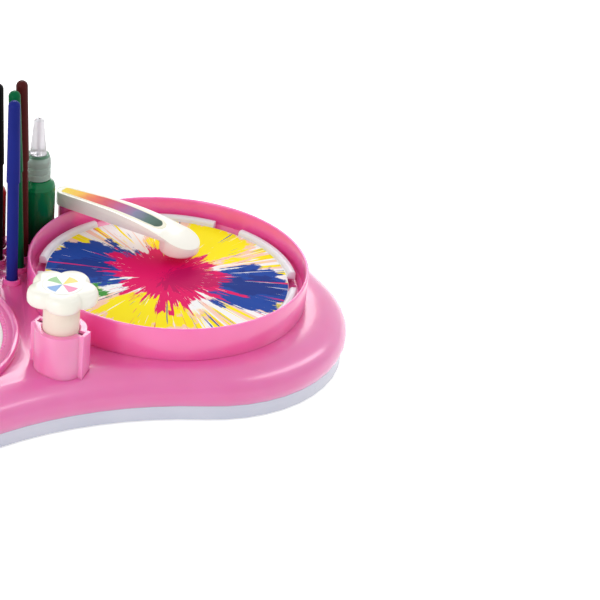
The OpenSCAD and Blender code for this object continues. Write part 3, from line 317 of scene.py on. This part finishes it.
# %% Splash card
def splash_card(name, centre, card_radius=0.0815):
    look = Finish(name, specular_ior_level=0.12)
    x, y, _ = look.split(look.place(centre))
    u, v = x / card_radius, y / card_radius
    radius = (u * u + v * v) ** 0.5
    ux, uy = u / (radius + 0.02), v / (radius + 0.02)

    def rays(count, seed, stretch=0.8):
        """Noise that changes round the card and hardly along its radius."""
        return look.noise(look.join(ux * count, uy * count, radius * stretch + seed), 1.0, 3, 0.6)

    def blot(cx, cy, size, seed, spikes=0.5, ragged=0.6):
        """A splash round (cx, cy), in shares of the card's radius, with streaks along the radius."""
        du, dv = u - cx, v - cy
        far = (du * du + dv * dv) ** 0.5
        rough = look.noise(look.join(u, v, seed), 3.0, 5, 0.62)
        streaks = spikes * (rays(8, seed) - 0.5)
        hairs = 0.2 * (rays(26, seed, 0.5) - 0.5)
        reach = size + ragged * (rough - 0.5) + streaks + hairs
        return look.step(reach - far, -0.02, 0.02)

    def threads(count, seed, level, start):
        """Fine streaks of paint outside a start radius."""
        streak = look.step(rays(count, seed, 0.35), level, level + 0.02)
        return streak * look.step(radius, start, start + 0.12)

    white = colour(252, 252, 250)
    peach, yellow = colour(250, 206, 180), colour(255, 236, 0)
    rose, plum = colour(228, 0, 100), colour(196, 0, 92)
    blue, deep_blue = colour(16, 68, 160), colour(10, 48, 132)
    green = colour(64, 150, 60)
    layers = [
        (threads(12, 33.0, 0.52, 0.42) * 0.9, peach), (threads(17, 21.0, 0.53, 0.56), yellow),
        (blot(0.52, 0.40, 0.44, 3.1), peach), (blot(-0.40, -0.52, 0.42, 9.7), peach),
        (blot(0.50, 0.38, 0.38, 3.1), yellow), (blot(-0.38, -0.50, 0.36, 9.7), yellow),
        (blot(-0.52, 0.40, 0.40, 5.3), blue), (blot(0.56, -0.40, 0.38, 12.9), blue),
        (blot(-0.60, 0.34, 0.20, 15.1), deep_blue), (blot(0.60, -0.46, 0.20, 6.1), deep_blue),
        (threads(30, 61.0, 0.64, 0.30), blue), (blot(0.04, -0.04, 0.44, 17.0, spikes=1.0), rose),
        (blot(-0.12, 0.24, 0.22, 19.0, spikes=0.8), rose), (blot(0.16, -0.12, 0.20, 23.0, spikes=0.8), plum),
        (threads(23, 41.0, 0.65, 0.30), rose), (blot(-0.64, -0.10, 0.10, 29.0), green),
        (threads(44, 77.0, 0.66, 0.24), white)]
    surface = look.blend(look.noise(look.place(centre), 2500, 2), white, colour(246, 246, 246))
    for mask, paint in layers:
        surface = look.blend(mask, surface, paint)
    look.set("Base Color", surface)
    look.set("Roughness", 0.55 + 0.15 * rays(20, 91.0))
    look.bump(0.5 * rays(20, 91.0) + 0.2 * look.noise(look.place(centre), 700, 2), 0.2, 0.0003)
    return look.material


bowl_centre = (0.1025, 0, 0)
painted_card = splash_card("painted_card", bowl_centre)
print("card painted")

# %% [markdown]
# ## Printed films
# The arm carries a long label with a rainbow that runs from yellow to green. The knob carries a
# round one with straight wedges, like a paper pinwheel. Both are plain prints under a thin gloss.
# The stem that carries the knob is beige, and the two keys that slide in the tower are painted dark for the
# shade in the tower's notch.

# %% Printed films
post_reach = 0.1
post_angle = math.radians(112)
post_spot = (bowl_centre[0] + post_reach * math.cos(post_angle), post_reach * math.sin(post_angle), 0)
arm_turn = math.radians(-52.5)
stem_axis = (-0.001, -0.070, 0)


def rainbow_label(name, length=0.073):
    """A leaf-shaped film along the arm, from x = 0 at the post to its round far end."""
    look = Finish(name, specular_ior_level=0.15, coat_roughness=0.06)
    x, y, _ = look.split(look.place(post_spot, arm_turn))
    along = (x + 0.003) / (length + 0.009)
    drift = 0.10 * (look.noise(look.place(), 160, 3) - 0.5)
    ramp = look.node("ValToRGB", {"stops": [
        (0.0, colour(250, 222, 20)), (0.16, colour(250, 190, 30)), (0.30, colour(232, 96, 50)),
        (0.44, colour(206, 40, 76)), (0.58, colour(176, 60, 130)), (0.72, colour(116, 110, 150)),
        (0.86, colour(52, 96, 84)), (1.0, colour(16, 60, 34))]}, {"Fac": along + drift})
    # Half the width of the leaf: it grows to a widest place and then closes with a round end
    grows = look.node("MapRange", None, {"Value": x, "From Min": 0.002, "From Max": 0.72 * length,
                                         "To Min": 0.005, "To Max": 0.0084})
    closes = look.node("MapRange", None, {"Value": x, "From Min": 0.72 * length, "From Max": length,
                                          "To Min": 0.0, "To Max": 0.0022})
    border = look.step(abs(y) - (grows - closes), -0.0013, -0.0009)
    beyond = look.node("Math", {"operation": "MAXIMUM"}, {0: x - (length - 0.0018), 1: 0.0})
    end = look.step((beyond * beyond + y * y) ** 0.5, 0.0056, 0.0060)
    root = look.step(x, -0.0018, -0.0023)
    edge = look.node("Math", {"operation": "MAXIMUM"}, {0: border, 1: end + root})
    look.set("Base Color", look.blend(edge, ramp, colour(244, 240, 220)))
    look.set("Roughness", 0.34 + 0.08 * look.noise(look.place(), 1800, 2))
    look.set("Coat Weight", 0.05)
    return look.material


def pinwheel_sticker(name, centre, wheel_radius=0.0103):
    """White film with four straight coloured wedges and blank ones between them."""
    look = Finish(name, specular_ior_level=0.3, coat_roughness=0.06)
    x, y, _ = look.split(look.place(centre))
    radius = (x * x + y * y) ** 0.5
    angle = look.node("Math", {"operation": "ARCTAN2"}, {0: y, 1: x})
    blank = colour(244, 244, 240)
    paints = [colour(96, 150, 214), colour(238, 120, 168), colour(250, 214, 90), colour(130, 190, 120)]
    wedges = []
    for count, paint in enumerate(paints):
        wedges += [(count / 4, paint), (count / 4 + 0.125, blank)]
    turn_share = angle / math.tau + 0.5
    wheel = look.node("ValToRGB", {"interpolation": "CONSTANT", "stops": wedges}, {"Fac": turn_share})
    margin = look.step(radius, wheel_radius - 0.0001, wheel_radius + 0.0001)
    look.set("Base Color", look.blend(margin, wheel, blank))
    look.set("Roughness", 0.32 + 0.08 * look.noise(look.place(), 1500, 2))
    look.set("Coat Weight", 0.2)
    return look.material


def stem_with_painted_shade_keys(name, axis_spot, round_radius=0.0118):
    """Beige plastic whose sliding keys, outside the round of the stem, are painted dark for the shade in the
    tower's notch.
    """
    look = Finish(name, coat_roughness=0.1)
    x, y, _ = look.split(look.place(axis_spot))
    keys = look.step((x * x + y * y) ** 0.5, round_radius, round_radius + 0.0002)
    mottle = look.noise(look.place(), 60, 2)
    body = look.blend(mottle, colour(244, 232, 216), colour(238, 224, 206))
    # Painted shade: the keys take a dark colour for the shade they sit in
    look.set("Base Color", look.blend(keys, body, colour(120, 44, 84)))
    look.set("Roughness", 0.34 + 0.1 * mottle)
    look.set("Coat Weight", 0.2)
    return look.material


stem_plastic = stem_with_painted_shade_keys("stem_with_painted_shade_keys", stem_axis)
label_film = rainbow_label("rainbow_label")
knob_film = pinwheel_sticker("pinwheel_sticker", stem_axis)
print("films printed")

# %% [markdown]
# ## Pens and paint bottles
# Pen barrels are thin extruded plastic with a dull sheen. A paint bottle is a glossy shell with
# paint inside, so its colour is deep, and painted shade darkens it towards the foot. The collar
# and the nozzle are milky and let some light through, and a ring of paint shows in the collar.

# %% Pens and bottles
def pen_plastic(name, tint):
    return plastic(name, tint, deeper(tint, 0.82), gloss=0.42, coat=0.0, grain=0.0002, shine=0.08)


def paint_bottle(name, tint):
    look = Finish(name, specular_ior_level=0.12, coat_roughness=0.05)
    _, _, z = look.split(look.place())
    # Painted shade: the colour goes deep and dark from the foot up towards the shoulder
    level = look.step(z + 0.004 * look.noise(look.place(), 90, 2), 0.040, 0.085)
    look.set("Base Color", look.blend(level, deeper(tint, 0.14), tint))
    look.set("Roughness", 0.22 + 0.06 * look.noise(look.place(), 300, 2))
    look.set("Coat Weight", 0.35)
    return look.material


def milky_plastic(name, tint, ring, ring_z, clear=0.5):
    look = Finish(name, coat_roughness=0.1, transmission_weight=clear, ior=1.3)
    _, _, z = look.split(look.place())
    band = 0.8 * look.step(abs(z - ring_z), 0.0016, 0.0006)
    look.set("Base Color", look.blend(band, tint, ring))
    look.set("Roughness", 0.34 + 0.1 * look.noise(look.place(), 400, 2))
    look.set("Coat Weight", 0.2)
    return look.material


pen_colours = {"brown": colour(84, 28, 28), "green": colour(0, 98, 58), "blue": colour(30, 42, 132),
               "black": colour(14, 13, 14), "red": colour(190, 20, 36), "yellow": colour(244, 208, 20)}
paint_colours = {"green": colour(0, 120, 70), "red": colour(168, 16, 30), "blue": colour(22, 48, 140)}
print("pens", len(pen_colours), "bottles", len(paint_colours))

# %% [markdown]
# ## Handing out the finishes
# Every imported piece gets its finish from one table. The pens and the bottles come in sets, so
# short loops fill in their lines.

# %% Hand out the finishes
finishes = {
    "base_tray": pale, "feet": rubber, "storage_lid": white, "deck": pink, "casing_screws": steel,
    "splash_bowl": pink, "spindle_bush": brass, "drawing_ring": painted_light_ring_pink, "drawing_paper": drawing_sheet,
    "holder": pink, "button_tower": painted_light_tower_pink, "button_stem": stem_plastic, "knob": cream,
    "knob_sticker": knob_film, "return_spring": steel, "gear_frame": white,
    "frame_screws": steel, "rack_pinion": acetal,
    "crown_shaft": steel, "crown_gear": acetal, "drive_axle": steel, "drive_gear": acetal,
    "idler_axle": steel, "idler_gear": blue_acetal, "spindle": steel, "spindle_gear": acetal,
    "platter": white, "paper_card": painted_card, "arm_post": pink, "swing_arm": cream,
    "arm_label": label_film}
for name, tint in pen_colours.items():
    finishes["pen_" + name] = finishes["cap_" + name] = pen_plastic("pen_plastic_" + name, tint)
collar_ring_height = 0.1025
above_every_nozzle = 0.2
for name, tint in paint_colours.items():
    finishes["collar_" + name] = milky_plastic(
        "milky_collar_" + name, colour(202, 226, 216), tint, collar_ring_height)
    finishes["bottle_" + name] = paint_bottle("paint_bottle_" + name, tint)
    finishes["nozzle_" + name] = milky_plastic(
        "milky_nozzle_" + name, colour(250, 250, 254), tint, above_every_nozzle, clear=0.6)


def dress(thing, finish):
    thing.data.materials.clear()
    thing.data.materials.append(finish)


for name, finish in finishes.items():
    dress(frame["nodes"][name], finish)
print("dressed", len(finishes), "of", len(frame["nodes"]))

# %% [markdown]
# ## Soft edges
# A moulded part has no knife edges: the mould's corners are rounded, and it is that thin round
# that catches the light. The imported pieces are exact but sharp, so each one that shows gets a
# merged copy whose sharp edges are bevelled, and whose gentle bends are shaded smooth.

# %% Soften
bodies = frame["record"]["behaviour"]["bodies"]
body_of_node = {node: body for body, nodes in bodies.items() for node in nodes}


def shade(mesh_data, angle=32):
    """Smooth everywhere but across edges that turn by more than the angle."""
    for face in mesh_data.faces:
        face.smooth = True
    for edge in mesh_data.edges:
        edge.smooth = len(edge.link_faces) == 2 and edge.calc_face_angle(0) < math.radians(angle)


def settle(bm, name, node):
    """Turns a bmesh into an object that stands for a node and rides on its body."""
    data = bpy.data.meshes.new(name)
    bm.to_mesh(data)
    bm.free()
    piece = bpy.data.objects.new(name, data)
    scene.collection.objects.link(piece)
    dress(piece, finishes[node])
    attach(piece, body_of_node[node])
    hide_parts(node)
    return piece


def merged_copy(node):
    """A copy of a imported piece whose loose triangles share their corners."""
    bm = bmesh.new()
    bm.from_mesh(frame["nodes"][node].data)
    bmesh.ops.remove_doubles(bm, verts=bm.verts, dist=2e-6)
    return bm


def softened(node, width, segments=2, angle=40):
    """The piece with a small round on each edge that turns by more than the angle."""
    bm = merged_copy(node)
    bmesh.ops.dissolve_limit(bm, angle_limit=math.radians(0.6), verts=bm.verts, edges=bm.edges,
                             use_dissolve_boundaries=False)
    sharp = [e for e in bm.edges if len(e.link_faces) == 2 and e.calc_face_angle(0) > math.radians(angle)]
    bmesh.ops.bevel(bm, geom=sharp, offset=width, offset_type="OFFSET", segments=segments, profile=0.5,
                    affect="EDGES", material=-1, clamp_overlap=True)
    shade(bm)
    return settle(bm, "soft_" + node, node)


soft_widths = {"deck": 0.0005, "base_tray": 0.0005, "button_tower": 0.0008, "knob": 0.0004,
               "button_stem": 0.0004, "holder": 0.0005, "swing_arm": 0.0012, "splash_bowl": 0.0004,
               "storage_lid": 0.0004,
               "arm_post": 0.0004, "platter": 0.0003, "drawing_ring": 0.0003}
for node, width in soft_widths.items():
    piece = softened(node, width)
    print(piece.name, len(piece.data.polygons))

# %% [markdown]
# ## The return spring
# The coil stands under the button's stem and closes up when the button goes down. A merged copy
# of it, shaded smooth, stands in for the imported coil and rides on its body.

# %% Return spring
coil = merged_copy("return_spring")
shade(coil)
spring = settle(coil, "coil_return_spring", "return_spring")
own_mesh(spring)

# %% [markdown]
# ## Floor and light
# A toy like this is shown on white. The floor is white card. The rays that show it find a little
# light of its own in it, so it stays white while it still takes the machine's soft shadow.

# %% Floor
bpy.ops.mesh.primitive_plane_add(size=8, location=(0, 0, 0))
floor = bpy.context.object
floor.name = "floor"
card = Finish("floor_card", roughness=0.6)
card.set("Base Color", (0.9, 0.9, 0.9, 1))
plain_card = Wire(card.tree, card.shader.outputs[0])
glow = card.node("Emission", None, {"Color": (1, 1, 1, 1), "Strength": 0.45})
glowing_card = card.node("AddShader", None, {0: plain_card, 1: glow})
surface = card.node("MixShader", None, {0: card.shown(), 1: plain_card, 2: glowing_card})
output = next(n for n in card.tree.nodes if n.type == "OUTPUT_MATERIAL")
plug(card.tree, output.inputs["Surface"], surface)
dress(floor, card.material)

# %% [markdown]
# ## Soft lamps
# The sky gives an even light from all sides. Softboxes add shape: a narrow one from the right
# draws the bright band on the shoulder, a broad one from the left lifts the shadow side, and two
# from behind give the flat top its sheen.

# %% Lights
world = bpy.data.worlds.new("studio")
scene.world = world
world.use_nodes = True
heaven = Graph(world.node_tree)
sky = world.node_tree.nodes["Background"]
sky.inputs["Color"].default_value = (1, 1, 1, 1)
# Things are lit by a dimmer sky than the one that shows, so the gloss stays clear
plug(world.node_tree, sky.inputs["Strength"], 0.62 + 0.38 * heaven.shown())


def softbox(name, place, aim, size, power, roll=0):
    lamp = bpy.data.lights.new(name, "AREA")
    lamp.shape = "RECTANGLE"
    lamp.size, lamp.size_y = size
    lamp.energy = power
    box = bpy.data.objects.new(name, lamp)
    box.location = place
    facing = (Vector(aim) - Vector(place)).to_track_quat("-Z", "Y").to_matrix()
    box.rotation_euler = (facing @ Matrix.Rotation(math.radians(roll), 3, "Z")).to_euler()
    scene.collection.objects.link(box)
    return box


softbox("key_softbox", (0.79, -0.33, 0.70), (0.14, -0.10, 0.03), (1.0, 0.16), 2.2, roll=-35)
softbox("left_fill", (-1.0, -0.45, 0.5), (0, 0, 0.05), (0.8, 0.7), 5)
softbox("left_sheen", (0.38, 0.66, 0.50), (-0.10, -0.12, 0.03), (0.5, 0.28), 1.3)
softbox("back_light", (0.2, 1.1, 1.1), (0, 0, 0.03), (1.2, 0.5), 3)
